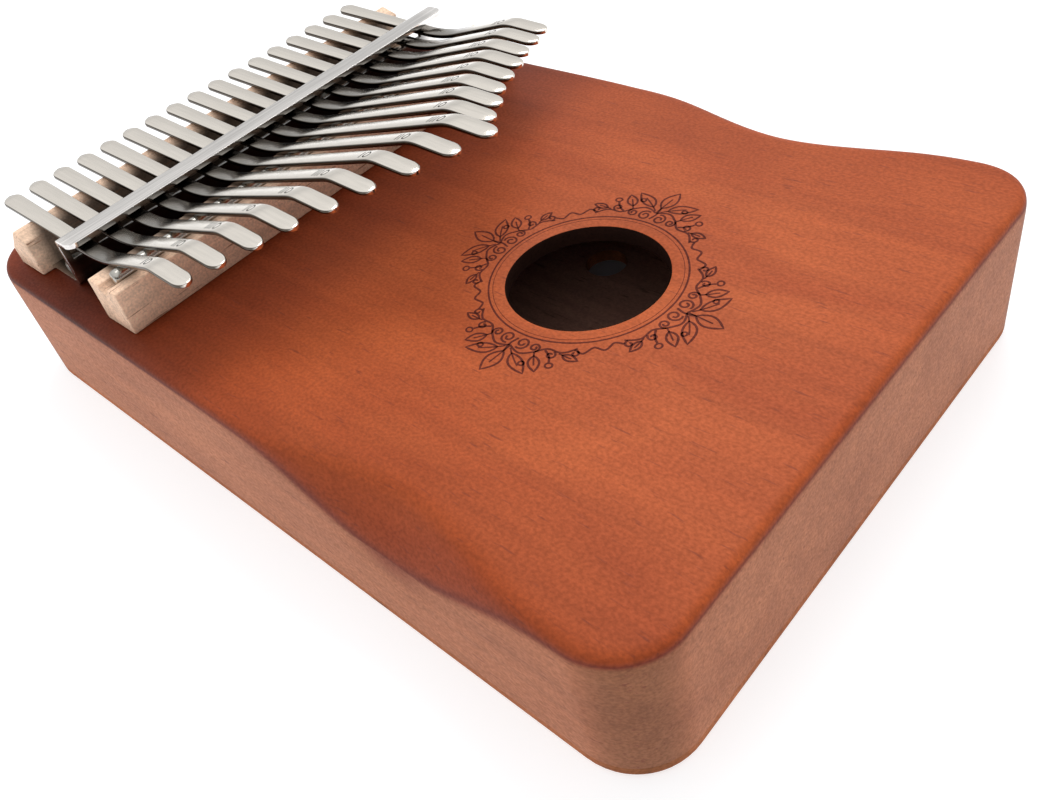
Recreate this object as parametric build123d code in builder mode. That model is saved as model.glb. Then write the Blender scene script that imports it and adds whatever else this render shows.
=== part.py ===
"""Seventeen-tine hollow-box mbira: wooden resonator, beech bridges, steel bracket and tines.

Frame: millimetres, +Z up, X across the row of tines, Y along the box.
The origin is on the resting face, under the centre of the box.
The sound hole is towards -Y, the player's end, and the tines are fixed near +Y.
"""
from build123d import *
from math import cos, radians, sin, sqrt, tan
import os

os.makedirs("parts", exist_ok=True)

# ---- Box ----
body_width = 130.0
body_length = 196.0
body_height = 32.7
front_corner_radius = 12.5
rear_corner_radius = 16.0
top_edge_radius = 2.6
bottom_edge_radius = 1.6
soundboard_thickness = 4.0
back_thickness = 3.0
wall_thickness = 10.0
cavity_corner_radius = 8.0
hole_radius = 15.8
hole_y = -40.0
hole_edge_chamfer = 0.4
vent_radius = 5.0
vent_x = 34.0
vent_y = -14.5

# ---- Arm scoops: a slanted hollow along the top edge of each long side ----
scoop_centre_y = -47.0
scoop_half_length = 42.0
scoop_run_in = 7.4          # how far the hollow reaches in from the side, at its deepest
scoop_drop = 10.3           # how far it lowers the side's edge, at its deepest

# ---- Front bridge with its saddle rod, and the rear block ----
bridge_length = 120.0
bridge_front_y = 31.7
bridge_depth = 11.4
bridge_height = 10.5
rod_radius = 1.8
rod_length = 114.6
rod_y = 36.9
rear_block_front_y = 73.5
rear_block_depth = 11.2
rear_block_front_height = 9.3
rear_block_ridge_height = 10.9    # the tines bear on this ridge
rear_block_ridge_inset = 6.2      # from the ridge to the rear face
rear_block_rear_height = 4.7
wood_edge_radius = 0.4

# ---- Bracket: foot, slotted upright and top flange, bent from one sheet ----
bracket_length = 117.8
bracket_shift = 1.7         # the bracket sits this far towards +X
bracket_thickness = 1.2
upright_front_y = 60.0
bracket_height = 12.9
flange_front_y = 54.2
flange_corner_radius = 2.6
bend_radius = 0.9           # inside the sheet's bends
slot_width = 5.0
slot_height = 4.6
slot_top_gap = 0.6          # metal left between the slots and the flange

# ---- Bracket screws and the block inside the box that they bite into ----
screw_count = 5
screw_spacing = 26.6
screw_y = 67.4
screw_shank_radius = 1.5
screw_head_radius = 2.8
screw_head_height = 1.7
screw_length = 14.0
recess_width = 0.8
recess_span = 3.2
recess_depth = 0.9
block_length = 108.0
block_front_y = 56.0
block_depth = 26.0
block_height = 14.0

# ---- Tines ----
tine_count = 17
tine_pitch = 6.65
tine_width = 3.8
tine_thickness = 1.1
tail_width = 4.6            # a tine widens from the bracket to its rear end
pad_width = 4.15            # the flattened playing end
pad_length = 11.0
pad_corner_radius = 2.0
pad_bend_radius = 12.0
pad_fall = 3.0              # degrees below level
tongue_rise = 16.3          # degrees above level, from the rod to the pad
rear_rise = 6.0             # degrees above level, from the bracket back
valley_radius = 48.0        # the tine's curve between the bracket and the rod
rod_gap = 0.1               # running gap between a tine and the rod
slot_gap = 0.48             # above the tine inside its slot, room for it to rock
rear_end_y = 90.0
rear_end_skew = -0.035      # the row of rear ends runs slightly askew, left by tuning
lowest_note = 261.63        # hertz, the middle tine
scale_steps = (0, 2, 4, 5, 7, 9, 11)
tongue_constant = 1000.0    # free length falls with the square root of the pitch
tongue_offset = 1.75

# ---- Derived places ----
soundboard_under = body_height - soundboard_thickness
rod_z = body_height + bridge_height
bracket_top = body_height + bracket_height
slot_top = bracket_top - bracket_thickness - slot_top_gap
slot_centre_z = slot_top - slot_height / 2
upright_rear_y = upright_front_y + bracket_thickness
foot_rear_y = rear_block_front_y
screw_xs = [screw_spacing * (k - (screw_count - 1) / 2) for k in range(screw_count)]
screw_places = [(x, screw_y) for x in screw_xs]


def tine_note(index):
    """Pitch of a tine: the scale climbs outwards, to the left and right in turn."""
    step = index - tine_count // 2
    degree = 2 * abs(step) - (1 if step < 0 else 0)
    semitones = 12 * (degree // 7) + scale_steps[degree % 7]
    return lowest_note * 2 ** (semitones / 12)


# ---- The form of the whole box, which its three plates are cut from ----
bevel_length = sqrt(scoop_run_in**2 + scoop_drop**2)
bevel_dir = Vector(-scoop_run_in / bevel_length, 0, scoop_drop / bevel_length)
scoop_depth = scoop_run_in * scoop_drop / bevel_length
scoop_plane = Plane(
    origin=(body_width / 2, scoop_centre_y, body_height), x_dir=(0, 1, 0), z_dir=bevel_dir
)

with BuildPart() as scoops:
    with BuildSketch(scoop_plane):
        with BuildLine():
            Spline(
                (-scoop_half_length, -0.3),
                (0, scoop_depth),
                (scoop_half_length, -0.3),
                tangents=[(1, 0), (1, 0), (1, 0)],
            )
            Polyline(
                (scoop_half_length, -0.3),
                (scoop_half_length, -16),
                (-scoop_half_length, -16),
                (-scoop_half_length, -0.3),
            )
        make_face()
    extrude(amount=body_height, both=True)
    mirror(about=Plane.YZ)

with BuildPart() as box_form:
    with BuildSketch() as outline:
        Rectangle(body_width, body_length)
        fillet(outline.vertices().group_by(Axis.Y)[-1], rear_corner_radius)
        fillet(outline.vertices().group_by(Axis.Y)[0], front_corner_radius)
    extrude(amount=body_height)
    fillet(box_form.edges().group_by(Axis.Z)[-1], top_edge_radius)
    fillet(box_form.edges().group_by(Axis.Z)[0], bottom_edge_radius)
    add(scoops.part, mode=Mode.SUBTRACT)

# ---- Soundboard: the top plate, with the sound hole and the screws' way through ----
with BuildPart() as soundboard:
    add(box_form.part)
    with BuildSketch(Plane.XY.offset(soundboard_under)):
        Rectangle(body_width + 2, body_length + 2)
    extrude(amount=soundboard_thickness + 1, mode=Mode.INTERSECT)
    with Locations((0, hole_y, body_height)):
        Hole(hole_radius)
    chamfer(soundboard.edges().filter_by(GeomType.CIRCLE).filter_by(
        lambda e: abs(e.radius - hole_radius) < 0.01 and e.center().Z > body_height - 0.01),
        hole_edge_chamfer)
    with Locations([(x, y, body_height) for x, y in screw_places]):
        Hole(screw_shank_radius)
soundboard.part.label = "soundboard"

# ---- Side frame: the one-piece milled rim between the two plates ----
with BuildPart() as side_frame:
    add(box_form.part)
    with BuildSketch(Plane.XY.offset(back_thickness)):
        Rectangle(body_width + 2, body_length + 2)
    extrude(amount=soundboard_under - back_thickness, mode=Mode.INTERSECT)
    with BuildSketch(Plane.XY.offset(back_thickness)):
        RectangleRounded(
            body_width - 2 * wall_thickness,
            body_length - 2 * wall_thickness,
            cavity_corner_radius,
        )
    extrude(amount=soundboard_under - back_thickness, mode=Mode.SUBTRACT)
side_frame.part.label = "side_frame"

# ---- Back plate, with two small vents that the player's fingers open and close ----
with BuildPart() as back_plate:
    add(box_form.part)
    with BuildSketch():
        Rectangle(body_width + 2, body_length + 2)
    extrude(amount=back_thickness, mode=Mode.INTERSECT)
    with Locations((-vent_x, vent_y, back_thickness), (vent_x, vent_y, back_thickness)):
        Hole(vent_radius)
back_plate.part.label = "back_plate"

# ---- Mounting block, glued under the soundboard below the bracket ----
with BuildPart() as mounting_block:
    with BuildSketch(Plane.XY.offset(soundboard_under - block_height)):
        with Locations((0, block_front_y + block_depth / 2)):
            Rectangle(block_length, block_depth)
    extrude(amount=block_height)
    chamfer(mounting_block.edges().group_by(Axis.Z)[0], 1.0)
    with Locations([(x, y, soundboard_under) for x, y in screw_places]):
        Hole(screw_shank_radius, depth=screw_length)
mounting_block.part.label = "mounting_block"

# ---- Front bridge, with the groove that the saddle rod lies in ----
with BuildPart() as front_bridge:
    with BuildSketch(Plane.YZ):
        with Locations((bridge_front_y + bridge_depth / 2, body_height + bridge_height / 2)):
            Rectangle(bridge_depth, bridge_height)
    extrude(amount=bridge_length / 2, both=True)
    fillet(front_bridge.edges().group_by(Axis.Z)[-1], wood_edge_radius)
    with BuildSketch(Plane.YZ):
        with Locations((rod_y, rod_z)):
            Circle(rod_radius)
    extrude(amount=rod_length / 2, both=True, mode=Mode.SUBTRACT)
front_bridge.part.label = "front_bridge"

with BuildPart() as bridge_rod:
    with BuildSketch(Plane.YZ):
        with Locations((rod_y, rod_z)):
            Circle(rod_radius)
    extrude(amount=rod_length / 2, both=True)
    chamfer(bridge_rod.edges().filter_by(GeomType.CIRCLE), 0.35)
bridge_rod.part.label = "bridge_rod"

# ---- Rear block: its top climbs to a ridge, and falls away steeply behind it ----
rear_block_rear_y = rear_block_front_y + rear_block_depth
with BuildPart() as rear_block:
    with BuildSketch(Plane.YZ):
        with BuildLine():
            Polyline(
                (rear_block_front_y, body_height),
                (rear_block_rear_y, body_height),
                (rear_block_rear_y, body_height + rear_block_rear_height),
                (rear_block_rear_y - rear_block_ridge_inset, body_height + rear_block_ridge_height),
                (rear_block_front_y, body_height + rear_block_front_height),
                close=True,
            )
        make_face()
    extrude(amount=bridge_length / 2, both=True)
    fillet(rear_block.edges().group_by(Axis.Z)[-1], wood_edge_radius)
rear_block.part.label = "rear_block"

# ---- Tine bracket ----
with BuildPart() as tine_bracket:
    with BuildSketch(Plane.YZ.offset(bracket_shift - bracket_length / 2)):
        with BuildLine():
            FilletPolyline(
                (foot_rear_y, body_height),
                (upright_front_y, body_height),
                (upright_front_y, bracket_top - bracket_thickness),
                (flange_front_y, bracket_top - bracket_thickness),
                radius=0.01,
            )
            Line((flange_front_y, bracket_top - bracket_thickness), (flange_front_y, bracket_top))
            FilletPolyline(
                (flange_front_y, bracket_top),
                (upright_rear_y, bracket_top),
                (upright_rear_y, body_height + bracket_thickness),
                (foot_rear_y, body_height + bracket_thickness),
                radius=bend_radius,
            )
            Line((foot_rear_y, body_height + bracket_thickness), (foot_rear_y, body_height))
        make_face()
    extrude(amount=bracket_length)
    flange_corners = tine_bracket.edges().filter_by(Axis.Z).group_by(Axis.Y)[0]
    fillet(flange_corners, flange_corner_radius)
    with BuildSketch(Plane.XZ.offset(-upright_rear_y)):
        with Locations((0, slot_centre_z)):
            with GridLocations(tine_pitch, 1, tine_count, 1):
                Rectangle(slot_width, slot_height)
    extrude(amount=bracket_thickness + bend_radius, mode=Mode.SUBTRACT)
    with Locations([(x, y, body_height + bracket_thickness) for x, y in screw_places]):
        Hole(screw_shank_radius + 0.1, depth=bracket_thickness)
tine_bracket.part.label = "tine_bracket"

# ---- Bracket screws: pan heads with a crossed recess ----
screw_seat = body_height + bracket_thickness
with BuildPart() as bracket_screws:
    with BuildSketch(Plane.XY.offset(screw_seat - screw_length)):
        with Locations(screw_places):
            Circle(screw_shank_radius)
    extrude(amount=screw_length)
    chamfer(bracket_screws.edges().group_by(Axis.Z)[0], 1.2)
    with BuildSketch(Plane.XY.offset(screw_seat)):
        with Locations(screw_places):
            Circle(screw_head_radius)
    extrude(amount=screw_head_height)
    fillet(bracket_screws.edges().group_by(Axis.Z)[-1], 0.8)
    with BuildSketch(Plane.XY.offset(screw_seat + screw_head_height)):
        with Locations(screw_places):
            Rectangle(recess_span, recess_width)
            Rectangle(recess_width, recess_span)
    extrude(amount=-recess_depth, mode=Mode.SUBTRACT)
bracket_screws.part.label = "bracket_screws"

# ---- Tines: each is one strip of spring steel ----
rise_slope = tan(radians(tongue_rise))
rear_slope = tan(radians(rear_rise))
contact_y = rod_y + (rod_radius + rod_gap) * sin(radians(tongue_rise))
contact_z = rod_z + (rod_radius + rod_gap) * cos(radians(tongue_rise))
slot_under_z = slot_top - slot_gap - tine_thickness
valley_y = (contact_z + rise_slope * contact_y - slot_under_z + rear_slope * upright_rear_y) / (
    rise_slope + rear_slope
)
valley_z = slot_under_z + rear_slope * (valley_y - upright_rear_y)

tines = []
for index in range(tine_count):
    tine_x = tine_pitch * (index - tine_count // 2)
    tip_y = rod_y - (tongue_constant / sqrt(tine_note(index)) - tongue_offset)
    bend_y = tip_y + pad_length * cos(radians(pad_fall))
    bend_z = contact_z - rise_slope * (bend_y - contact_y)
    tip_z = bend_z - pad_length * sin(radians(pad_fall))
    tail_y = rear_end_y + rear_end_skew * tine_x
    tail_z = slot_under_z + rear_slope * (tail_y - upright_rear_y)
    with BuildPart() as tine:
        with BuildSketch(Plane.YZ.offset(tine_x)):
            with BuildLine() as under_side:
                FilletPolyline(
                    (tip_y, tip_z),
                    (bend_y, bend_z),
                    (valley_y, valley_z),
                    (tail_y, tail_z),
                    radius=[pad_bend_radius, valley_radius],
                )
                offset(amount=tine_thickness, side=Side.LEFT)
            make_face()
        extrude(amount=tail_width / 2, both=True)
        with BuildSketch(Plane.XY.offset(body_height)):
            with Locations((tine_x, tip_y + pad_length / 2)):
                RectangleRounded(pad_width, pad_length, pad_corner_radius)
            with Locations((tine_x, (tip_y + 4 + tail_y) / 2)):
                RectangleRounded(tine_width, tail_y - tip_y - 4, tine_width / 2 - 0.01)
            Polygon(
                (tine_x - tine_width / 2, upright_rear_y),
                (tine_x + tine_width / 2, upright_rear_y),
                (tine_x + tail_width / 2, tail_y - tail_width / 2),
                (tine_x - tail_width / 2, tail_y - tail_width / 2),
                align=None,
            )
            with Locations((tine_x, tail_y - tail_width / 2)):
                Circle(tail_width / 2)
        extrude(amount=body_height, mode=Mode.INTERSECT)
    name = f"tine_{index + 1:02d}"
    tine.part.label = name
    tines.append(tine.part)

pieces = [
    soundboard.part,
    side_frame.part,
    back_plate.part,
    mounting_block.part,
    front_bridge.part,
    bridge_rod.part,
    rear_block.part,
    tine_bracket.part,
    bracket_screws.part,
    *tines,
]
for piece in pieces:
    export_step(piece, f"parts/{piece.label}.step")
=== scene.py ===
"""The looks of a seventeen-tine hollow-box mbira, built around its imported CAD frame.

Metres, in the row frame: +Z up, X across the tines, Y along the box.
"""
import math

import bmesh
import bpy
import numpy as np
from mathutils import Euler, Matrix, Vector


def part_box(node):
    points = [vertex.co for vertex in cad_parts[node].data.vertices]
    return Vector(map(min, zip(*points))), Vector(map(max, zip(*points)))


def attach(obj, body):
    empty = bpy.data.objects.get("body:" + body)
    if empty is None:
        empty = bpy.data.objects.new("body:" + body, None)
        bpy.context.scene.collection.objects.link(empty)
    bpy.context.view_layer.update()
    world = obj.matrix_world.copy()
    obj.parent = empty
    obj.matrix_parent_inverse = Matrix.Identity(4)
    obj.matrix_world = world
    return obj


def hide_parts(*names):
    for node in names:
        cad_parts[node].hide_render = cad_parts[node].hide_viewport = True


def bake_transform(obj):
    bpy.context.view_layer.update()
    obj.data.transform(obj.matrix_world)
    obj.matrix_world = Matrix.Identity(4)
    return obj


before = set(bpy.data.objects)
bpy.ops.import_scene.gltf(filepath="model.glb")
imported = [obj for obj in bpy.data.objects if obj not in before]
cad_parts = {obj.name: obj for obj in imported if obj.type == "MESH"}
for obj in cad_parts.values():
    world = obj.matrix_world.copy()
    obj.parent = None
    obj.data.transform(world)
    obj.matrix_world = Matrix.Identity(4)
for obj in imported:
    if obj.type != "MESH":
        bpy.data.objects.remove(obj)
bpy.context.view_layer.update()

MM = 0.001
ROOT = "resonator"

# ---- Places and sizes read from the frame ----
board_low, board_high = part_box("soundboard")
HALF_WIDTH, HALF_LENGTH, TOP_Z = board_high
BOARD_UNDER_Z = board_low[2]
RIM_BOTTOM_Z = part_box("side_frame")[0][2]
bracket_low, bracket_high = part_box("tine_bracket")
block_low, block_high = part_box("rear_block")
rod_low, rod_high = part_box("bridge_rod")
ROD_Y = (rod_low[1] + rod_high[1]) / 2
ROD_Z = (rod_low[2] + rod_high[2]) / 2
ROD_RADIUS = (rod_high[2] - rod_low[2]) / 2

# ---- Sizes that the frame doesn't state: the CAD source's, and finer ones of the visual model ----
FRONT_CORNER = 12.5 * MM
REAR_CORNER = 16.0 * MM
WALL = 10.0 * MM
INNER_RADIUS = 8.0 * MM
HOLE_Y = -40.0 * MM
HOLE_RADIUS = 15.8 * MM
EDGE_SOFTNESS = 0.85 * MM
EDGE_REACH = 11.0 * MM
SCOOP_Y = -47.0 * MM
SCOOP_HALF = 42.0 * MM
SCOOP_DEPTH = 6.01 * MM
SCOOP_FADE = -5.0 * MM
SCOOP_NORMAL = (-0.812, 0.584)
SCOOP_EASE = 0.3 * MM
RAYS = 1080
SHEET = 1.2 * MM
SHEET_BEND = 1.15 * MM
UPRIGHT_Y = 60.0 * MM
SLOT_TOP_GAP = 0.6 * MM
SLOT_SIZE = (5.0 * MM, 4.6 * MM)
TINE_WIDTH = 3.8 * MM
TINE_THICKNESS = 1.1 * MM
TAIL_WIDTH = 4.6 * MM
PAD_WIDTH = 4.15 * MM
PAD_LENGTH = 11.0 * MM
TIP_LENGTH = 3.0 * MM
TIP_THINNING = 0.12
TAIL_LENGTH = 2.4 * MM
SECTION_CORNER = 0.33 * MM
TONGUE_RISE = math.radians(16.3)
PAD_FALL = math.radians(3.0)
VALLEY_RADIUS = 40.0 * MM
PAD_BEND_RADIUS = 13.0 * MM
MARK_LINE = 0.38 * MM
MARK_SUNK = 0.05 * MM
MARK_PROUD = 0.012 * MM
RIDGE_INSET = 6.2 * MM
RIDGE_FRONT_Z = 42.0 * MM
RIDGE_REAR_Z = 37.4 * MM
FLANGE_CORNER = 2.6 * MM
RING_RADIUS = 19.1 * MM
LINE = 0.62 * MM
LINE_SUNK = 0.12 * MM
LINE_PROUD = 0.018 * MM
ROD_END = 1.2 * MM
SHADE_ROW_END = ((0.0550, 0.0), (0.0585, 1.0))    # where the painted shade along the tine rows fades out, in metres from the middle
TINES = [f"tine_{number:02d}" for number in range(1, 18)]

# ---- Worked out from both: the slots' top, the rear ridge, and a tine's slope and rest on the rod ----
SLOT_TOP = bracket_high[2] - SHEET - SLOT_TOP_GAP
RIDGE_Y = block_high[1] - RIDGE_INSET
RIDGE_Z = block_high[2]
SLOPE = math.tan(TONGUE_RISE)
CONTACT = (ROD_Y + ROD_RADIUS * math.sin(TONGUE_RISE), ROD_Z + ROD_RADIUS * math.cos(TONGUE_RISE))


# ---------------------------------------------------------------- helpers
def new_object(name, mesh, material, body=ROOT):
    """An object from a finished mesh, with one material, riding on a body."""
    obj = bpy.data.objects.new(name, mesh)
    bpy.context.scene.collection.objects.link(obj)
    mesh.materials.append(material)
    if body:
        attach(obj, body)
    return obj


def smooth(mesh, angle=35.0):
    """Smooth shading, with edges sharper than the angle kept crisp."""
    for polygon in mesh.polygons:
        polygon.use_smooth = True
    mesh.set_sharp_from_angle(angle=math.radians(angle))


def loft(name, rings, closed_path=False):
    """A closed mesh over rings of equal point count, each closed on itself."""
    rings = np.asarray(rings, dtype=float)
    count, size = rings.shape[:2]
    faces = []
    for i in range(count if closed_path else count - 1):
        a, b = i * size, ((i + 1) % count) * size
        for j in range(size):
            k = (j + 1) % size
            faces.append((a + j, a + k, b + k, b + j))
    if not closed_path:
        faces.append(tuple(range(size))[::-1])
        last = (count - 1) * size
        faces.append(tuple(last + j for j in range(size)))
    mesh = bpy.data.meshes.new(name)
    mesh.from_pydata([tuple(p) for p in rings.reshape(-1, 3)], [], faces)
    tidy = bmesh.new()
    tidy.from_mesh(mesh)
    bmesh.ops.recalc_face_normals(tidy, faces=tidy.faces)
    tidy.to_mesh(mesh)
    tidy.free()
    return mesh


def rounded_path(corners, radii, step):
    """Points along straight runs joined by tangent arcs, one radius for each inner corner."""
    corners = [np.array(c, dtype=float) for c in corners]
    points = [corners[0]]
    for before, at, after, radius in zip(corners, corners[1:], corners[2:], radii):
        inward, outward = before - at, after - at
        inward /= np.linalg.norm(inward)
        outward /= np.linalg.norm(outward)
        half = math.acos(np.clip(inward @ outward, -1, 1)) / 2
        reach = radius / math.tan(half)
        bisector = inward + outward
        centre = at + bisector / np.linalg.norm(bisector) * radius / math.sin(half)
        start, end = at + inward * reach, at + outward * reach
        turns = max(6, int(2 * radius * (math.pi / 2 - half) / step))
        for t in np.linspace(0, 1, turns + 1):
            chord = start * (1 - t) + end * t - centre
            points.append(centre + chord / np.linalg.norm(chord) * radius)
    points.append(corners[-1])
    dense = [points[0]]
    for a, b in zip(points, points[1:]):
        pieces = max(1, math.ceil(np.linalg.norm(b - a) / step))
        dense += [a + (b - a) * (k + 1) / pieces for k in range(pieces)]
    return np.array(dense)


def lengths_along(points):
    """How far along a line each of its points is."""
    steps = np.linalg.norm(np.diff(points, axis=0), axis=1)
    return np.concatenate([[0], np.cumsum(steps)])


def middle_x(name):
    """The middle of a node's width."""
    return sum(corner[0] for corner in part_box(name)) / 2


# ---------------------------------------------------------------- materials
WHITE = (1.0, 1.0, 1.0, 1.0)


def material(name, metallic=0.0, roughness=0.5):
    """A new node material: itself, its nodes, its links and its shader."""
    made = bpy.data.materials.new(name)
    made.use_nodes = True
    shader = made.node_tree.nodes["Principled BSDF"]
    shader.inputs["Metallic"].default_value = metallic
    shader.inputs["Roughness"].default_value = roughness
    return made, made.node_tree.nodes, made.node_tree.links, shader


def stretched_noise(nodes, links, stretch, scale, detail=4.0, distortion=0.0):
    """Noise over object coordinates, stretched by a scale for each axis."""
    coords = nodes.new("ShaderNodeTexCoord")
    mapping = nodes.new("ShaderNodeMapping")
    mapping.inputs["Scale"].default_value = stretch
    noise = nodes.new("ShaderNodeTexNoise")
    noise.inputs["Scale"].default_value = scale
    noise.inputs["Detail"].default_value = detail
    noise.inputs["Distortion"].default_value = distortion
    links.new(coords.outputs["Object"], mapping.inputs["Vector"])
    links.new(mapping.outputs["Vector"], noise.inputs["Vector"])
    return noise.outputs["Fac"]


def ramp(nodes, links, source, stops):
    """A colour ramp over a factor: stops are (place, colour)."""
    made = nodes.new("ShaderNodeValToRGB")
    elements = made.color_ramp.elements
    while len(elements) < len(stops):
        elements.new(0.5)
    for element, (place, colour) in zip(elements, stops):
        element.position = place
        element.color = (*colour, 1.0)
    links.new(source, made.inputs["Fac"])
    return made.outputs["Color"]


def blend_colours(nodes, links, factor, a, b, mode="MIX"):
    """Two colours or sockets mixed in one of the mix node's ways."""
    made = nodes.new("ShaderNodeMix")
    made.data_type = "RGBA"
    made.blend_type = mode
    for socket, value in ((made.inputs[0], factor), (made.inputs[6], a), (made.inputs[7], b)):
        if isinstance(value, bpy.types.NodeSocket):
            links.new(value, socket)
        else:
            socket.default_value = value
    return made.outputs[2]


def tinted(nodes, links, colour, tint, factor=1.0):
    """A colour multiplied by a tint."""
    return blend_colours(nodes, links, factor, colour, tint, "MULTIPLY")


def split_axes(nodes, links, kind, output):
    """The X, Y and Z of a coordinate node's output, such as its object coordinates."""
    split = nodes.new("ShaderNodeSeparateXYZ")
    links.new(nodes.new(kind).outputs[output], split.inputs["Vector"])
    return split.outputs


def arithmetic(nodes, links, operation, *values):
    """A maths node over sockets and numbers."""
    made = nodes.new("ShaderNodeMath")
    made.operation = operation
    for socket, value in zip(made.inputs, values):
        if isinstance(value, bpy.types.NodeSocket):
            links.new(value, socket)
        else:
            socket.default_value = value
    return made.outputs[0]


def spread(nodes, links, source, first, last):
    """A value's place between first and last, from 0 to 1."""
    made = nodes.new("ShaderNodeMapRange")
    made.inputs["From Min"].default_value = first
    made.inputs["From Max"].default_value = last
    links.new(source, made.inputs["Value"])
    return made.outputs["Result"]


def bump(nodes, links, shader, height, strength, distance):
    """Surface relief from a height."""
    made = nodes.new("ShaderNodeBump")
    made.inputs["Strength"].default_value = strength
    made.inputs["Distance"].default_value = distance
    links.new(height, made.inputs["Height"])
    links.new(made.outputs["Normal"], shader.inputs["Normal"])


def grey(value):
    return (value, value, value)


def painted_row_shade(nodes, links, colour, rows, along="Y"):
    """Painted shade across the row of tines, with painted dark reflection on the tines: rows are (place
    along an axis, tint) stops.
    """
    axes = split_axes(nodes, links, "ShaderNodeTexCoord", "Object")
    half_width = arithmetic(nodes, links, "ABSOLUTE", axes["X"])
    tints = []
    for source, stops in ((axes[along], rows), (half_width, SHADE_ROW_END)):
        first, last = stops[0][0], stops[-1][0]
        places = [((at - first) / (last - first), grey(tint)) for at, tint in stops]
        tints.append(ramp(nodes, links, spread(nodes, links, source, first, last), places))
    tint = blend_colours(nodes, links, tints[1], tints[0], WHITE)
    return tinted(nodes, links, colour, tint)


def corner_painted_shade(nodes, links, normal, colour):
    """Painted shade: the box's rounded corners darker than its flat sides."""
    turned = arithmetic(nodes, links, "MULTIPLY", normal["X"], normal["Y"])
    tint = ramp(nodes, links, arithmetic(nodes, links, "ABSOLUTE", turned), (
        (0.0, (1.0, 1.0, 1.0)), (0.15, (0.88, 0.86, 0.83)), (0.44, (0.62, 0.64, 0.60)),
    ))
    return tinted(nodes, links, colour, tint)


def shade_and_burst(nodes, links, colour, mottle, is_top):
    """The top darker from the middle of the box back towards the bridges and the rear end, painted shade
    from the tines and bridges, and darker towards the long edges, partly a burst stain and partly painted
    shade.
    """
    axes = split_axes(nodes, links, "ShaderNodeTexCoord", "Object")
    half_width = arithmetic(nodes, links, "ABSOLUTE", axes["X"])
    waver = arithmetic(nodes, links, "MULTIPLY_ADD", mottle, 0.014, -0.007)
    for source, first, last, stops in (
        (axes["Y"], 0.0, 0.094, (
            (0.0, (0.98, 0.97, 0.97)), (0.14, (0.68, 0.62, 0.60)), (0.35, (0.44, 0.38, 0.37)),
            (0.50, (0.30, 0.22, 0.20)), (0.72, (0.30, 0.22, 0.20)), (1.0, (0.60, 0.50, 0.48)),
        )),
        (half_width, 0.035, 0.065, (
            (0.0, (1.0, 1.0, 1.0)), (0.62, (0.93, 0.90, 0.88)), (1.0, (0.78, 0.70, 0.66)),
        )),
    ):
        place = arithmetic(nodes, links, "ADD", source, waver)
        tint = ramp(nodes, links, spread(nodes, links, place, first, last), stops)
        colour = tinted(nodes, links, colour, blend_colours(nodes, links, is_top, WHITE, tint))
    return colour


def wood(name, light, dark, pore, roughness, coat, grain=(1.0, 0.05, 1.0), figure=1.0, facing=None,
         specular=0.25, row_shade=None):
    """Stained or bare wood: broad mottling, streaks along the grain, fine speckle and flecks.

    With facing given, as (side light, side dark, edge), faces that look sideways take those paler colours,
    a painted sheen, with a thin dark line of the edge colour, painted shade, where they turn up to the top.
    """
    made, nodes, links, shader = material(name, roughness=roughness)
    mottle = stretched_noise(nodes, links, (1.0, 0.4, 1.0), 55.0, 6.0, 0.8)
    colour = ramp(nodes, links, mottle, ((0.28, dark), (0.72, light)))
    # Painted shade across the row of tines.
    if row_shade:
        colour = painted_row_shade(nodes, links, colour, row_shade)
    if facing:
        normal = split_axes(nodes, links, "ShaderNodeNewGeometry", "Normal")
        side = ramp(nodes, links, mottle, ((0.28, facing[1]), (0.72, facing[0])))
        side = corner_painted_shade(nodes, links, normal, side)
        # Sideways faces take the painted sheen colours, and the turn to the top a dark line of painted
        # shade.
        is_top = ramp(nodes, links, normal["Z"], ((0.10, grey(0.0)), (0.24, grey(1.0))))
        colour = blend_colours(nodes, links, is_top, side, colour)
        edge = ramp(nodes, links, normal["Z"],
                    ((0.06, grey(0.0)), (0.20, grey(0.80)), (0.40, grey(0.30)), (0.80, grey(0.12))))
        colour = blend_colours(nodes, links, edge, colour, (*facing[2], 1.0))
        colour = shade_and_burst(nodes, links, colour, mottle, is_top)
    streaks = stretched_noise(nodes, links, grain, 420.0, 6.0)
    low, high = grey(1 - 0.16 * figure), grey(1 + 0.08 * figure)
    colour = tinted(nodes, links, colour, ramp(nodes, links, streaks, ((0.30, low), (0.70, high))))
    flecks = stretched_noise(nodes, links, (1.0, 0.7, 1.0), 1900.0, 4.0)
    fleck_tint = ramp(nodes, links, flecks, ((0.34, grey(0.82)), (0.66, grey(1.16))))
    colour = tinted(nodes, links, colour, fleck_tint, 0.9)
    pores = stretched_noise(nodes, links, (grain[0], grain[1] * 2.2, grain[2]), 1500.0, 2.0)
    pore_mask = ramp(nodes, links, pores, ((0.63, grey(0.0)), (0.74, grey(0.8 * figure))))
    colour = blend_colours(nodes, links, pore_mask, colour, (*pore, 1.0))
    links.new(colour, shader.inputs["Base Color"])
    gloss = ramp(nodes, links, flecks, ((0.3, grey(roughness + 0.07)), (0.7, grey(roughness - 0.05))))
    links.new(gloss, shader.inputs["Roughness"])
    shader.inputs["Specular IOR Level"].default_value = specular
    shader.inputs["Coat Weight"].default_value = coat
    shader.inputs["Coat Roughness"].default_value = 0.38
    bump(nodes, links, shader, flecks, 0.30, 0.00006)
    return made


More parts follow.
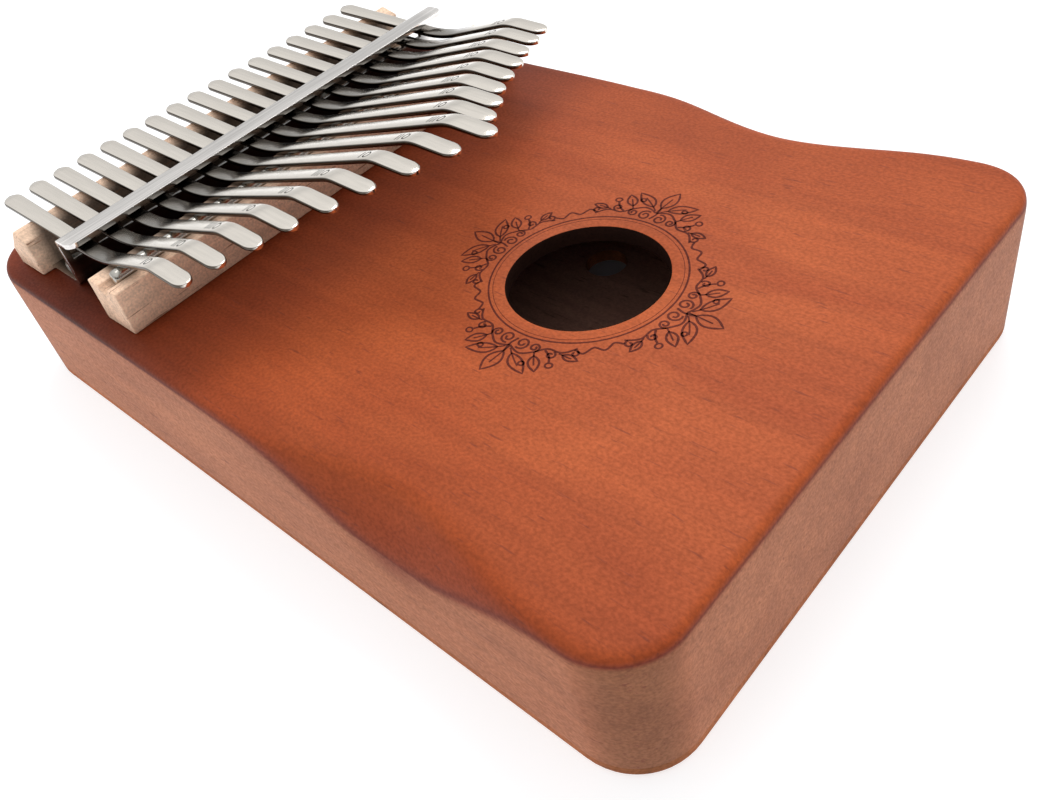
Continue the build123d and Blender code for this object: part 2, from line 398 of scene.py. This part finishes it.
def metal(name, colour, roughness, brush, streak=0.35, depth=0.15, row_shade=(), edge=None):
    """Metal with fine brushing along one axis, given as a stretch for each axis.

    row_shade holds (axis, rows) pairs of painted shade for painted_row_shade, and edge is the painted shade
    colour of faces that look along X.
    """
    made, nodes, links, shader = material(name, metallic=1.0)
    lines = stretched_noise(nodes, links, brush, 1400.0, 4.0)
    low, high = [tuple(c * f for c in colour) for f in (1 - streak * 0.3, 1 + streak * 0.12)]
    shade = ramp(nodes, links, lines, ((0.3, low), (0.7, high)))
    for axis, rows in row_shade:
        shade = painted_row_shade(nodes, links, shade, rows, axis)
    # Painted shade: faces that look along X, the tines' sides, take the dark edge colour.
    if edge:
        normal = split_axes(nodes, links, "ShaderNodeNewGeometry", "Normal")
        sideways = arithmetic(nodes, links, "ABSOLUTE", normal["X"])
        side_shade_mask = ramp(nodes, links, sideways, ((0.45, grey(0.0)), (0.80, grey(1.0))))
        shade = blend_colours(nodes, links, side_shade_mask, shade, (*edge, 1.0))
    links.new(shade, shader.inputs["Base Color"])
    smears = stretched_noise(nodes, links, (1.0, 1.0, 1.0), 160.0, 3.0)
    gloss = ramp(nodes, links, smears, ((0.3, grey(roughness * 0.8)), (0.7, grey(roughness * 1.25))))
    links.new(gloss, shader.inputs["Roughness"])
    bump(nodes, links, shader, lines, depth, 0.00002)
    return made


# Paler side colours, a painted sheen, and a dark edge line, painted shade.
BOX_SIDES_SHEEN = ((0.52, 0.190, 0.088), (0.40, 0.135, 0.060), (0.160, 0.022, 0.012))
# The row stops darken the board under the tines, between the front bridge and the bracket: painted shade.
MAHOGANY = wood("mahogany", (0.56, 0.124, 0.034), (0.42, 0.080, 0.021), (0.17, 0.035, 0.018), 0.52, 0.03,
                figure=0.7, facing=BOX_SIDES_SHEEN, specular=0.13,
                row_shade=((0.0400, 1.0), (0.0430, 0.20), (0.0600, 0.20), (0.0625, 1.0)))
INSIDE = wood("inside_wood", (0.36, 0.20, 0.15), (0.28, 0.15, 0.11), (0.12, 0.06, 0.04), 0.7, 0.0,
              facing=BOX_SIDES_SHEEN, specular=0.05)
# Painted shade on the beech under the tines: the front bridge's top, and the rear block from the bracket
# back to near its ridge.
BEECH_SHADE_STOPS = ((0.0300, 1.0), (0.0330, 0.9), (0.0350, 0.42), (0.0440, 0.30), (0.0740, 0.22),
               (0.0768, 0.80), (0.0785, 1.0))
BEECH = wood("beech", (0.99, 0.72, 0.53), (0.93, 0.63, 0.45), (0.34, 0.16, 0.09), 0.60, 0.0,
             grain=(0.06, 1.0, 1.0), figure=1.2, row_shade=BEECH_SHADE_STOPS)
BLOCK_WOOD = wood("block_wood", (0.55, 0.38, 0.24), (0.46, 0.30, 0.18), (0.30, 0.17, 0.09), 0.75, 0.0,
                  grain=(0.06, 1.0, 1.0))
BURNT = wood("burnt_wood", (0.032, 0.012, 0.008), (0.018, 0.008, 0.006), (0.010, 0.005, 0.004), 0.6, 0.0,
             specular=0.08)
ENGRAVED = wood("engraved_wood", (0.155, 0.032, 0.020), (0.100, 0.020, 0.013), (0.06, 0.012, 0.008),
                0.7, 0.0, specular=0.1)
# The tines darken from the rod back to the bracket, a painted dark reflection and shade, and their sides
# take a dark painted shade colour.
TINE_STEEL = metal(
    "tine_steel", (0.80, 0.75, 0.68), 0.12, (1.0, 0.06, 1.0), streak=0.2, depth=0.05,
    edge=(0.09, 0.075, 0.06),
    row_shade=[("Y", ((0.0335, 1.0), (0.0365, 0.75), (0.0400, 0.40), (0.0585, 0.32), (0.0620, 1.0)))],
)
MARK_STEEL = metal("mark_steel", (0.03, 0.027, 0.024), 0.8, (1.0, 1.0, 1.0))
# Painted shade on the bracket: dark on the upright and foot below the flange and a little darker on the
# flange's top, with the flange's front edge a little lighter, a painted highlight.
BRACKET_STEEL = metal(
    "bracket_steel", (0.92, 0.89, 0.86), 0.15, (0.03, 1.0, 1.0), streak=0.6, depth=0.12,
    row_shade=[("Z", ((0.0400, 0.26), (0.0438, 0.26), (0.0444, 1.0), (0.0460, 1.0))),
          ("Y", ((bracket_low[1], 1.08), (bracket_low[1] + 0.5 * MM, 0.80), (UPRIGHT_Y + 0.4 * MM, 0.80),
                 (UPRIGHT_Y + 1.0 * MM, 1.08)))],
)
ROD_STEEL = metal("rod_steel", (0.50, 0.48, 0.44), 0.22, (0.3, 1.0, 1.0))
SCREW_STEEL = metal("screw_steel", (0.40, 0.40, 0.38), 0.34, (1.0, 1.0, 1.0))


# ---------------------------------------------------------------- the box
def outline_hit(angle, half_x, half_y, front_radius, rear_radius, origin_y):
    """Where a ray from (0, origin_y) meets a rounded rectangle: (point, outward normal)."""
    radius = front_radius if math.sin(angle) < 0 else rear_radius
    ray = np.array([math.cos(angle), math.sin(angle)])
    origin = np.array([0.0, origin_y])
    best = None
    for axis, half in ((0, half_x), (1, half_y)):
        if abs(ray[axis]) > 1e-9:
            reach = (math.copysign(half, ray[axis]) - origin[axis]) / ray[axis]
            if best is None or reach < best[0]:
                best = (reach, axis)
    reach, axis = best
    point = origin + ray * reach
    centre = np.array([math.copysign(half_x - radius, point[0]), math.copysign(half_y - radius, point[1])])
    beyond = (point - centre) * np.sign(centre)
    if beyond[0] > 0 and beyond[1] > 0:
        away = origin - centre
        b = ray @ away
        reach = -b + math.sqrt(b * b - away @ away + radius * radius)
        point = origin + ray * reach
        return point, (point - centre) / radius
    normal = np.zeros(2)
    normal[axis] = math.copysign(1.0, ray[axis])
    return point, normal


def scoop_depth(y, side):
    """How deep the arm scoop cuts the box's edge, square to its slant; side is |normal x|."""
    t = min(abs(y - SCOOP_Y) / SCOOP_HALF, 1.4)
    eased = 1 - (3 * t * t - 2 * t**3) if t < 1 else -0.9 * (t - 1)
    deep = SCOOP_DEPTH * eased - SCOOP_EASE * min(t, 1)
    return SCOOP_FADE + (max(deep, SCOOP_FADE) - SCOOP_FADE) * side


def edge_profile(depth, count=72):
    """The box's edge in section: (inset, height) from the flat top down to the flat side."""
    centre = np.array([EDGE_REACH, TOP_Z - EDGE_REACH])
    points = []
    for turn in np.linspace(0, math.pi / 2, count):
        way = np.array([-math.sin(turn), math.cos(turn)])
        near, far = 0.0, 20.0 * MM
        for _ in range(26):
            middle = (near + far) / 2
            inset, height = centre + way * middle
            planes = np.array([
                height - TOP_Z,
                -inset,
                SCOOP_NORMAL[0] * inset + SCOOP_NORMAL[1] * (height - TOP_Z) + depth,
            ])
            if EDGE_SOFTNESS * np.log(np.exp(planes / EDGE_SOFTNESS).sum()) > 0:
                far = middle
            else:
                near = middle
        points.append(centre + way * near)
    return np.array(points)


def resample(points, count):
    """The same line in count points, evenly spaced along it."""
    along = lengths_along(points)
    places = np.linspace(0, along[-1], count)
    return np.stack([np.interp(places, along, points[:, k]) for k in range(points.shape[1])], 1)


def split_profile(profile, height):
    """The part of an edge profile above a height, and the part below, sharing the cut."""
    index = int(np.argmax(profile[:, 1] < height))
    a, b = profile[index - 1], profile[index]
    cut = a + (b - a) * (height - a[1]) / (b[1] - a[1])
    return np.vstack([profile[:index], cut]), np.vstack([cut, profile[index:]])


def box_rings():
    """Rings for the soundboard and the rim, one in each for every ray from the hole's centre."""
    board, rim = [], []
    for angle in np.linspace(0, 2 * math.pi, RAYS, endpoint=False):
        edge, normal = outline_hit(
            angle, HALF_WIDTH, HALF_LENGTH, FRONT_CORNER, REAR_CORNER, HOLE_Y
        )
        side = min(1.0, abs(normal[0])) ** 2
        profile = edge_profile(scoop_depth(edge[1], side))
        upper, lower = split_profile(profile, BOARD_UNDER_Z)
        upper, lower = resample(upper, 30), resample(lower, 16)

        def place(inset, height):
            return (*(edge - normal * inset), height)

        ray = np.array([math.cos(angle), math.sin(angle)])

        def hole(radius, height):
            return (ray[0] * radius, HOLE_Y + ray[1] * radius, height)

        top_inner = np.array(place(*upper[0]))
        hole_top = np.array(hole(HOLE_RADIUS + 0.35 * MM, TOP_Z))
        top_inner[2] = TOP_Z
        across = [top_inner + (hole_top - top_inner) * t for t in np.linspace(0, 1, 9)[1:]]
        wall = [
            hole(HOLE_RADIUS + 0.12 * MM, TOP_Z - 0.08 * MM),
            hole(HOLE_RADIUS, TOP_Z - 0.35 * MM),
            hole(HOLE_RADIUS, BOARD_UNDER_Z + 0.4 * MM),
            hole(HOLE_RADIUS + 0.4 * MM, BOARD_UNDER_Z),
        ]
        outer = [place(*p) for p in upper[::-1]]
        outer[-1] = tuple(top_inner)
        board.append(outer + [tuple(p) for p in across] + wall)
        inner, _ = outline_hit(
            angle, HALF_WIDTH - WALL, HALF_LENGTH - WALL, INNER_RADIUS, INNER_RADIUS, HOLE_Y
        )
        rim.append(
            [place(*p) for p in lower]
            + [place(0.0, lower[-1][1] * (1 - t) + RIM_BOTTOM_Z * t) for t in (0.5, 1.0)]
            + [(*inner, RIM_BOTTOM_Z), (*inner, BOARD_UNDER_Z)]
        )
    return board, rim


def build_box():
    """The soundboard and the rim, with the burnt edge of the sound hole."""
    board, rim = box_rings()
    for node, name, rings in (("soundboard", "soundboard_shell", board), ("side_frame", "rim_shell", rim)):
        mesh = loft(name, rings, closed_path=True)
        smooth(mesh)
        shell = new_object(name, mesh, MAHOGANY)
        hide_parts(node)
        if node == "soundboard":
            mesh.materials.append(BURNT)
            for polygon in mesh.polygons:
                near = math.hypot(polygon.center.x, polygon.center.y - HOLE_Y)
                if near < HOLE_RADIUS + 0.3 * MM and polygon.center.z < TOP_Z - 0.05 * MM:
                    polygon.material_index = 1


# ---------------------------------------------------------------- tines
def tine_line(name):
    """A tine's underside seen from the side, as (y, z) points from its tail to its tip."""
    low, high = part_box(name)
    pressed = (UPRIGHT_Y + SHEET / 2, SLOT_TOP - TINE_THICKNESS)
    rear_slope = (RIDGE_Z - pressed[1]) / (RIDGE_Y - pressed[0])
    tail = (high[1], RIDGE_Z + rear_slope * (high[1] - RIDGE_Y))
    meeting = CONTACT[1] + SLOPE * CONTACT[0] - pressed[1] + rear_slope * pressed[0]
    valley_y = meeting / (SLOPE + rear_slope)
    valley = (valley_y, pressed[1] + rear_slope * (valley_y - pressed[0]))
    bend_y = low[1] + PAD_LENGTH * math.cos(PAD_FALL)
    bend = (bend_y, CONTACT[1] - SLOPE * (bend_y - CONTACT[0]))
    tip = (low[1], bend[1] - PAD_LENGTH * math.sin(PAD_FALL))
    return rounded_path([tail, valley, bend, tip], [VALLEY_RADIUS, PAD_BEND_RADIUS], 1.0 * MM)


def rounded_section(width, thickness, corner):
    """A rounded rectangle around the origin, as (across, up) points."""
    points = []
    corner = min(corner, width / 2.01, thickness / 2.01)
    for quarter in range(4):
        sx, sz = ((1, 1), (-1, 1), (-1, -1), (1, -1))[quarter]
        for k in range(4):
            a = math.pi / 2 * (quarter + k / 3)
            points.append((
                sx * (width / 2 - corner) + corner * math.cos(a),
                sz * (thickness / 2 - corner) + corner * math.sin(a),
            ))
    return points


def strip_mesh(bm, points, width, up, low, high, closed=False):
    """A thin closed strip along 3-D points: width across, from low to high along up."""
    points = [Vector(p) for p in points]
    count = len(points)
    up = Vector(up)
    rows = []
    for i, point in enumerate(points):
        ahead = points[(i + 1) % count] if closed or i < count - 1 else point
        behind = points[i - 1] if closed or i else point
        side = (ahead - behind).cross(up).normalized() * width / 2
        rows.append([
            bm.verts.new(point + side * a + up * b)
            for a, b in ((1, low), (0.7, high), (-0.7, high), (-1, low))
        ])
    faces = []
    for i in range(count if closed else count - 1):
        a, b = rows[i], rows[(i + 1) % count]
        for j in range(4):
            k = (j + 1) % 4
            faces.append(bm.faces.new((a[j], b[j], b[k], a[k])))
    if not closed:
        faces.append(bm.faces.new(rows[0]))
        faces.append(bm.faces.new(rows[-1][::-1]))
    return faces


def add_marks(mesh, x, y, index):
    """A small stamped tally on a tine's tongue, in its own dark finish."""
    up = (0.0, math.sin(TONGUE_RISE), math.cos(TONGUE_RISE))
    lift = TINE_THICKNESS / math.cos(TONGUE_RISE)

    def on_top(across, along):
        place = y + along * math.cos(TONGUE_RISE)
        return (x + across, place, CONTACT[1] - SLOPE * (place - CONTACT[0]) + lift)

    ring = [on_top(0.95 * MM * math.cos(a), 1.2 * MM + 0.8 * MM * math.sin(a))
            for a in np.linspace(0, 2 * math.pi, 13)[:-1]]
    lines = [(ring, True)]
    for tick in range(1 + index % 3):
        along = (2.9 + 0.95 * tick) * MM
        bar = [on_top(-1.1 * MM, along), on_top(0.0, along + 0.1 * MM), on_top(1.1 * MM, along)]
        lines.append((bar, False))
    bm = bmesh.new()
    bm.from_mesh(mesh)
    added = []
    for line, closed in lines:
        added += strip_mesh(bm, line, MARK_LINE, up, -MARK_SUNK, MARK_PROUD, closed)
    for face in added:
        face.material_index = 1
    bmesh.ops.recalc_face_normals(bm, faces=added)
    bm.to_mesh(mesh)
    bm.free()


def build_tine(name):
    """One tine, a strip bent into a valley behind the rod and down to its pad at the tip."""
    line = tine_line(name)
    x = middle_x(name)
    tip_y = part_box(name)[0][1]
    along = lengths_along(line)
    total = along[-1]
    ends = (1 - np.cos(np.linspace(0, math.pi / 2, 12))) * TIP_LENGTH
    middle = along[(along > ends[-1]) & (along < total - ends[-1])]
    places = np.concatenate([ends, middle, (total - ends)[::-1]])
    rings = []
    for place in places:
        y, z = (np.interp(place, along, line[:, k]) for k in (0, 1))
        ahead, behind = (np.clip(place + d, 0, total) for d in (0.4 * MM, -0.4 * MM))
        tangent = np.array([
            np.interp(ahead, along, line[:, k]) - np.interp(behind, along, line[:, k]) for k in (0, 1)
        ])
        tangent /= np.linalg.norm(tangent)
        up = np.array([tangent[1], -tangent[0]])
        if up[1] < 0:
            up = -up
        to_tip = total - place
        widen = np.clip((PAD_LENGTH + 3 * MM - to_tip) / (6 * MM), 0, 1)
        width = TINE_WIDTH + (PAD_WIDTH - TINE_WIDTH) * widen * widen * (3 - 2 * widen)
        behind_bracket = np.clip((y - UPRIGHT_Y - SHEET) / (line[0][0] - UPRIGHT_Y - SHEET), 0, 1)
        width += (TAIL_WIDTH - TINE_WIDTH) * behind_bracket
        thickness = TINE_THICKNESS * (1 - TIP_THINNING * np.clip(1 - to_tip / PAD_LENGTH, 0, 1))
        for reach, round_end in ((to_tip, TIP_LENGTH), (place, TAIL_LENGTH)):
            if reach < round_end:
                width *= math.sqrt(max(1 - (1 - reach / round_end) ** 2, 0.004))
        centre = np.array([y, z]) + up * thickness / 2
        section = rounded_section(width, thickness, SECTION_CORNER)
        rings.append([(x + a, *(centre + up * b)) for a, b in section])
    mesh = loft(name + "_strip", rings)
    smooth(mesh, 60)
    tine = new_object(name + "_strip", mesh, TINE_STEEL, body=None)
    mesh.materials.append(MARK_STEEL)
    add_marks(mesh, x, tip_y + PAD_LENGTH + 2.2 * MM, TINES.index(name))
    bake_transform(tine)
    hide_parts(name)


# ---------------------------------------------------------------- bridges, rod and bracket
def prism(name, polygon, axis, start, end):
    """A mesh from a polygon drawn across an axis, run from start to end along it."""
    order = {"X": (2, 0, 1), "Z": (0, 1, 2)}[axis]
    rings = []
    for level in (start, end):
        placed = [(*point, level) for point in polygon]
        rings.append([tuple(p[k] for k in order) for p in placed])
    return loft(name, rings)


def apply_modifiers(obj):
    """Turn an object's modified shape into its mesh."""
    graph = bpy.context.evaluated_depsgraph_get()
    mesh = bpy.data.meshes.new_from_object(obj.evaluated_get(graph))
    obj.modifiers.clear()
    obj.data = mesh


def bevelled(obj, width, angle):
    """Round the edges sharper than an angle in degrees."""
    bevel = obj.modifiers.new("edges", "BEVEL")
    bevel.width = width
    bevel.segments = 3
    bevel.limit_method = "ANGLE"
    bevel.angle_limit = math.radians(angle)
    apply_modifiers(obj)
    smooth(obj.data, 40)


def cut(obj, cutter_mesh, operation="DIFFERENCE"):
    """Take another mesh out of an object, or keep only what they share."""
    cutter = bpy.data.objects.new("cutter", cutter_mesh)
    bpy.context.scene.collection.objects.link(cutter)
    boolean = obj.modifiers.new("cut", "BOOLEAN")
    boolean.operation = operation
    boolean.solver = "EXACT"
    boolean.object = cutter
    apply_modifiers(obj)
    bpy.data.objects.remove(cutter)


def arc(centre, radius, start, end, count):
    """Points on an arc, angles in degrees."""
    angles = np.radians(np.linspace(start, end, count))
    return [(centre[0] + radius * math.cos(a), centre[1] + radius * math.sin(a)) for a in angles]


def build_bridges():
    """The grooved front bridge and the ridged rear block."""
    low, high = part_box("front_bridge")
    groove = arc((ROD_Y, ROD_Z), ROD_RADIUS + 0.05 * MM, 0, -180, 17)
    front = [(low[1], low[2]), (high[1], low[2]), (high[1], high[2]), *groove, (low[1], high[2])]
    rear = [(block_low[1], block_low[2]), (block_high[1], block_low[2]), (block_high[1], RIDGE_REAR_Z),
            (RIDGE_Y, RIDGE_Z), (block_low[1], RIDGE_FRONT_Z)]
    for node, profile, bevel, angle in (
        ("front_bridge", front, 0.55 * MM, 50), ("rear_block", rear, 0.5 * MM, 20),
    ):
        low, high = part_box(node)
        name = node + "_wood"
        bar = new_object(name, prism(name, profile, "X", low[0], high[0]), BEECH)
        bevelled(bar, bevel, angle)
        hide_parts(node)


def build_rod():
    """The saddle rod, domed at both ends."""
    dome = [(ROD_END * (1 - math.sin(a)), min(ROD_RADIUS * math.cos(a) ** 0.6 + 0.02 * MM, ROD_RADIUS))
            for a in np.linspace(1.5, 0, 9)]
    straight = np.linspace(rod_low[0] + 2 * MM, rod_high[0] - 2 * MM, 40)
    stations = [(rod_low[0] + inset, radius) for inset, radius in dome]
    stations += [(x, ROD_RADIUS) for x in straight]
    stations += [(rod_high[0] - inset, radius) for inset, radius in dome[::-1]]
    turns = np.linspace(0, 2 * math.pi, 33)[:-1]
    mesh = loft("saddle_rod", [
        [(x, ROD_Y + radius * math.cos(t), ROD_Z + radius * math.sin(t)) for t in turns]
        for x, radius in stations
    ])
    smooth(mesh, 50)
    rod = new_object("saddle_rod", mesh, ROD_STEEL)
    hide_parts("bridge_rod")


def slot_cutters(middle):
    """A block through the bracket's upright for each tine's slot."""
    slots = bmesh.new()
    for tine in TINES:
        box = bmesh.ops.create_cube(slots, size=1.0)["verts"]
        bmesh.ops.scale(slots, vec=(SLOT_SIZE[0], SHEET + MM, SLOT_SIZE[1]), verts=box)
        bmesh.ops.translate(slots, vec=(middle_x(tine), middle, SLOT_TOP - SLOT_SIZE[1] / 2), verts=box)
    mesh = bpy.data.meshes.new("slots")
    slots.to_mesh(mesh)
    slots.free()
    return mesh


def build_bracket():
    """The bent sheet, with a slot for each tine."""
    low, high = bracket_low, bracket_high
    half = SHEET / 2
    middle = UPRIGHT_Y + half
    foot_z, flange_z = low[2] + half, high[2] - half
    line = rounded_path(
        [(high[1], foot_z), (middle, foot_z), (middle, flange_z), (low[1], flange_z)],
        [SHEET_BEND, SHEET_BEND], 0.5 * MM,
    )
    runs = np.gradient(line, axis=0)
    runs /= np.linalg.norm(runs, axis=1)[:, None]
    normals = np.stack([-runs[:, 1], runs[:, 0]], 1)
    keep = [0]
    for i in range(1, len(line) - 1):
        if abs(runs[i] @ runs[keep[-1]]) < 0.9999 or abs(runs[i + 1] @ runs[i]) < 0.9999:
            keep.append(i)
    keep.append(len(line) - 1)
    profile = [tuple(p) for p in (line + normals * half)[keep]]
    profile += [tuple(p) for p in (line - normals * half)[keep][::-1]]
    sheet = new_object("tine_bracket_sheet", prism("tine_bracket_sheet", profile, "X", low[0], high[0]),
                       BRACKET_STEEL)
    r = FLANGE_CORNER
    plan = (arc((low[0] + r, low[1] + r), r, 180, 270, 9) + arc((high[0] - r, low[1] + r), r, 270, 360, 9)
            + [(high[0], high[1] + MM), (low[0], high[1] + MM)])
    cut(sheet, prism("plan", plan, "Z", low[2] - MM, high[2] + MM), "INTERSECT")
    cut(sheet, slot_cutters(middle))
    bevelled(sheet, 0.2 * MM, 42)
    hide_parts("tine_bracket")


# ---------------------------------------------------------------- the burnt wreath
class Wreath:
    """Burnt lines on the soundboard, drawn in frames turned about the sound hole."""

    def __init__(self):
        self.bm = bmesh.new()

    def line(self, points, width=LINE, closed=False):
        """A burnt line through (x, y) points on the soundboard."""
        strip_mesh(self.bm, [(x, y, TOP_Z) for x, y in points], width, (0, 0, 1),
                   -LINE_SUNK, LINE_PROUD, closed)

    def polar(self, turn, points, flip=1):
        """Points in mm, (along the ring, out from it), placed around the hole at a turn in degrees."""
        placed = []
        for along, out in points:
            radius = RING_RADIUS + out * MM
            angle = math.radians(turn) - flip * along * MM / (RING_RADIUS + 3.5 * MM)
            placed.append((radius * math.cos(angle), HOLE_Y + radius * math.sin(angle)))
        return placed

    def leaf(self, turn, base, lean, length, width, flip=1):
        """A pointed leaf with a midrib, leaning from straight out by an angle in degrees."""
        lean = math.radians(lean)
        along, out = math.sin(lean), math.cos(lean)
        sides = []
        for side in (1, -1):
            for t in np.linspace(0, 1, 9)[:-1] if side > 0 else np.linspace(1, 0, 9)[:-1]:
                wide = side * width / 2 * math.sin(math.pi * t**0.85)
                sides.append((base[0] + along * length * t + out * wide,
                              base[1] + out * length * t - along * wide))
        self.line(self.polar(turn, sides, flip), closed=True)
        rib = [(base[0] + along * length * t, base[1] + out * length * t)
               for t in np.linspace(-0.25, 0.62, 5)]
        self.line(self.polar(turn, rib, flip), LINE * 0.75)

    def curl(self, turn, start, lean, size, hand, flip=1, wraps=1.35):
        """A tendril that rolls up into a spiral."""
        lean = math.radians(lean)
        points = []
        centre = (start[0] + math.cos(lean) * size * hand, start[1] - math.sin(lean) * size * hand)
        first = math.atan2(start[1] - centre[1], start[0] - centre[0])
        for t in np.linspace(0, 1, 22):
            radius = size * (1 - 0.74 * t)
            angle = first - hand * t * wraps * 2 * math.pi
            points.append((centre[0] + radius * math.cos(angle), centre[1] + radius * math.sin(angle)))
        self.line(self.polar(turn, points, flip))

    def berry(self, turn, at, radius, flip=1):
        """A small ring at the end of a stem."""
        points = [(at[0] + radius * math.cos(a), at[1] + radius * math.sin(a))
                  for a in np.linspace(0, 2 * math.pi, 13)[:-1]]
        self.line(self.polar(turn, points, flip), LINE * 0.9, closed=True)

    def stem(self, turn, points, flip=1):
        """A smooth line through points, which bends evenly at each."""
        corners = np.array(points, dtype=float)
        places = np.linspace(0, len(corners) - 1, 6 * len(corners))
        curve = []
        for place in places:
            i = min(int(place), len(corners) - 2)
            t = place - i
            p0, p1 = corners[max(i - 1, 0)], corners[i]
            p2, p3 = corners[i + 1], corners[min(i + 2, len(corners) - 1)]
            curve.append(0.5 * (2 * p1 + (p2 - p0) * t + (2 * p0 - 5 * p1 + 4 * p2 - p3) * t * t
                                + (3 * p1 - p0 - 3 * p2 + p3) * t**3))
        self.line(self.polar(turn, curve, flip))


def build_wreath():
    """The burnt ring of leaves, curls and berries round the sound hole."""
    art = Wreath()
    for radius, width in ((RING_RADIUS, 0.52 * MM), (RING_RADIUS - 0.85 * MM, 0.16 * MM)):
        art.line(arc((0, HOLE_Y), radius, 0, 358.5, 240), width, closed=True)
    for turn in (0, 90, 180, 270):
        art.leaf(turn, (0.0, 5.2), 4, 5.9, 2.5)
        art.stem(turn, [(-0.2, 1.2), (0.3, 3.0), (0.0, 5.2)])
        for flip in (1, -1):
            art.stem(turn, [(0.0, 3.4), (2.6, 4.4), (4.9, 3.4), (7.4, 1.9), (10.4, 2.6), (13.2, 1.5)], flip)
            art.leaf(turn, (1.6, 5.0), 46, 5.6, 2.4, flip)
            art.curl(turn, (1.1, 3.3), 62, 1.55, 1, flip)
            art.leaf(turn, (5.6, 4.2), 22, 4.0, 1.9, flip)
            art.curl(turn, (5.3, 3.2), 120, 1.15, 1, flip)
            art.stem(turn, [(7.0, 2.3), (8.2, 3.6), (8.7, 5.2)], flip)
            art.berry(turn, (8.9, 6.0), 0.62, flip)
            art.curl(turn, (8.9, 2.5), 60, 1.0, -1, flip, 1.1)
            art.leaf(turn, (10.6, 3.2), 62, 3.2, 1.5, flip)
            art.berry(turn, (4.4, 6.6), 0.5, flip)
            art.curl(turn, (12.6, 1.9), 100, 0.9, -1, flip, 1.0)
    for turn in (45, 135, 225, 315):
        art.stem(turn, [(-4.2, 2.4), (-2.6, 1.4), (-0.6, 2.7), (1.4, 1.6), (3.4, 2.9), (4.6, 2.2)])
    mesh = bpy.data.meshes.new("burnt_wreath")
    bmesh.ops.recalc_face_normals(art.bm, faces=art.bm.faces)
    art.bm.to_mesh(mesh)
    art.bm.free()
    wreath = new_object("burnt_wreath", mesh, ENGRAVED)


# ---------------------------------------------------------------- stage
def build_stage():
    """A pale floor, a little luminous all round the object, and under it a darker patch that does not glow:
    painted shade.
    """
    reach, half_x, half_y = 6.0, 0.054, 0.086
    rows, columns = ((-reach, -half, half, reach) for half in (half_y, half_x))
    points = [(x, y, 0.0) for y in rows for x in columns]
    starts = [4 * row + column for row in range(3) for column in range(3)]
    faces = [(k, k + 1, k + 5, k + 4) for k in starts]
    mesh = bpy.data.meshes.new("floor")
    mesh.from_pydata(points, [], faces)
    paper, _, _, shader = material("floor_paper", roughness=0.9)
    shader.inputs["Base Color"].default_value = (0.50, 0.51, 0.53, 1)
    shader.inputs["Emission Color"].default_value = (1.0, 1.0, 1.0, 1)
    shader.inputs["Emission Strength"].default_value = 0.66
    shaded, _, _, shader = material("floor_shaded", roughness=0.9)
    shader.inputs["Base Color"].default_value = (0.30, 0.30, 0.32, 1)
    floor = new_object("floor", mesh, paper, body=None)
    mesh.materials.append(shaded)
    mesh.polygons[4].material_index = 1


def build_key_light():
    """A soft light from above the far side."""
    data = bpy.data.lights.new("key", "AREA")
    data.shape = "RECTANGLE"
    data.size = data.size_y = 0.55
    data.energy = 5.0
    data.color = (1.0, 0.98, 0.95)
    light = bpy.data.objects.new("key", data)
    place = Vector((0.55, 0.25, 1.0))
    light.location = place
    light.rotation_euler = (Vector((0, 0, 0.02)) - place).to_track_quat("-Z", "Y").to_euler()
    bpy.context.scene.collection.objects.link(light)


def build_room():
    """An even pale room, with a shaded band low down on the player's side."""
    world = bpy.data.worlds.new("studio")
    bpy.context.scene.world = world
    world.use_nodes = True
    nodes, links = world.node_tree.nodes, world.node_tree.links
    way = split_axes(nodes, links, "ShaderNodeTexCoord", "Generated")
    sky = ramp(nodes, links, way["Z"], (
        (0.0, grey(0.95)), (0.10, grey(0.78)), (0.35, grey(0.72)), (0.55, grey(0.88)), (1.0, grey(1.0)),
    ))
    band = ramp(nodes, links, way["Z"], (
        (0.0, grey(0.2)), (0.04, grey(1.0)), (0.40, grey(1.0)), (0.60, grey(0.0)),
    ))
    sideways = arithmetic(nodes, links, "MULTIPLY", way["X"], -0.25)
    facing = arithmetic(nodes, links, "MULTIPLY_ADD", way["Y"], -0.97, sideways)
    near_side = ramp(nodes, links, facing, ((0.15, grey(0.0)), (0.50, grey(1.0))))
    shade = tinted(nodes, links, band, near_side)
    colour = blend_colours(nodes, links, shade, sky, (0.13, 0.12, 0.11, 1.0))
    links.new(colour, nodes["Background"].inputs["Color"])
    nodes["Background"].inputs["Strength"].default_value = 1.0


def build_camera():
    """The photograph's viewpoint: near, low, over the box's front left corner."""
    data = bpy.data.cameras.new("camera")
    data.sensor_width = 36.0
    data.lens = 34.41
    data.shift_x = 0.0524
    data.shift_y = -0.0450
    data.clip_start = 0.01
    camera = bpy.data.objects.new("camera", data)
    camera.location = (-0.10997, -0.14537, 0.14973)
    camera.rotation_euler = Euler([math.radians(a) for a in (48.554, 11.956, -46.855)])
    bpy.context.scene.collection.objects.link(camera)
    bpy.context.scene.camera = camera


def dress(node, made):
    """A better material on a CAD node that stays."""
    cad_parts[node].data.materials.clear()
    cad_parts[node].data.materials.append(made)


build_box()
build_bridges()
build_rod()
build_bracket()
build_wreath()
for tine_name in TINES:
    build_tine(tine_name)
for node, made in (
    ("back_plate", INSIDE), ("mounting_block", BLOCK_WOOD), ("bracket_screws", SCREW_STEEL),
):
    dress(node, made)
build_stage()
build_room()
build_key_light()
build_camera()
bpy.context.scene.view_settings.view_transform = "Standard"
